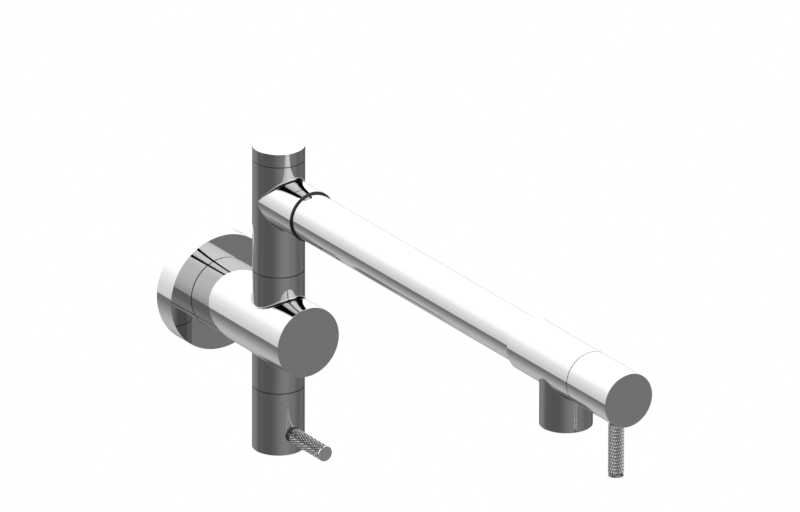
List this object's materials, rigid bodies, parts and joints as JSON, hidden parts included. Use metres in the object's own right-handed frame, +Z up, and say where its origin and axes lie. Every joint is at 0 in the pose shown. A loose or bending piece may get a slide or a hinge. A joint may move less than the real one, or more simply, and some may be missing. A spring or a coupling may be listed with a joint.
{
  "type": "wall-mounted pot filler tap",
  "caption": "Wall-mounted pot filler: thick round flange, horizontal body, upright column with a lever valve below, and a swinging straight arm that ends in a spout and a second lever valve.",
  "frame": {"origin": "centre of the inlet thread's mouth, on the wall plane", "axes": "+Z up, +Y into the wall along the inlet's axis, so the tap stands out along -Y; +X to the right for someone facing the wall"},
  "size_m": [0.083, 0.5091, 0.2216],
  "materials": {
    "chrome": "polished",
    "chrome_knurled": "polished, cut with a diamond knurl",
    "brass": "machined",
    "stainless": "machined stainless steel",
    "black_rubber": "moulded",
    "ceramic": "lapped ceramic",
    "dark_bearing": "filled low-friction plastic",
    "white_bearing": "low-friction plastic",
    "grey_plastic": "moulded"
  },
  "bodies": {
    "wall_body": {"mounting_bracket": "brass", "inlet_o_rings": "black_rubber", "wall_gasket": "black_rubber", "wall_flange": "chrome", "flange_set_screw": "stainless", "main_housing": "chrome", "housing_set_screw": "stainless", "swivel_post": "brass", "swivel_o_rings": "black_rubber", "lower_bearing_ring": "dark_bearing", "upper_bearing_ring": "white_bearing", "post_nut": "brass", "wall_seat_washer": "black_rubber", "wall_fixed_disc": "ceramic", "wall_cartridge_barrel": "brass", "wall_barrel_o_ring": "black_rubber"},
    "wall_handle": {"wall_moving_disc": "ceramic", "wall_spindle": "brass", "wall_spindle_o_ring": "black_rubber", "wall_stop_ring": "stainless", "wall_handle_hub": "brass", "wall_hub_screw": "stainless", "wall_handle_sleeve": "chrome", "wall_lever": "chrome_knurled"},
    "arm": {"arm_tee": "chrome", "top_cap": "chrome", "cap_o_ring": "black_rubber", "arm_tube": "chrome", "inner_pipe": "stainless", "pipe_o_rings": "black_rubber", "valve_body": "chrome", "spout_seat_washer": "black_rubber", "spout_fixed_disc": "ceramic", "spout_cartridge_barrel": "brass", "spout_barrel_o_ring": "black_rubber", "aerator_washer": "black_rubber", "aerator_shell": "chrome", "aerator_insert": "grey_plastic"},
    "spout_handle": {"spout_moving_disc": "ceramic", "spout_spindle": "brass", "spout_spindle_o_ring": "black_rubber", "spout_stop_ring": "stainless", "spout_handle_hub": "brass", "spout_hub_screw": "stainless", "spout_handle_sleeve": "chrome", "spout_lever": "chrome_knurled"}
  },
  "joints": [
    {"name": "arm_swing", "type": "hinge", "parent": "wall_body", "child": "arm", "pos_m": [0, -0.0877, 0.0941], "axis": [0, 0, 1], "range_deg": [-90, 90]},
    {"name": "wall_valve_turn", "type": "hinge", "parent": "wall_body", "child": "wall_handle", "pos_m": [0, -0.0877, -0.0661], "axis": [0, 0, -1], "range_deg": [0, 90]},
    {"name": "spout_valve_turn", "type": "hinge", "parent": "arm", "child": "spout_handle", "pos_m": [0, -0.4863, 0.0941], "axis": [0, -1, 0], "range_deg": [0, 90]}
  ]
}
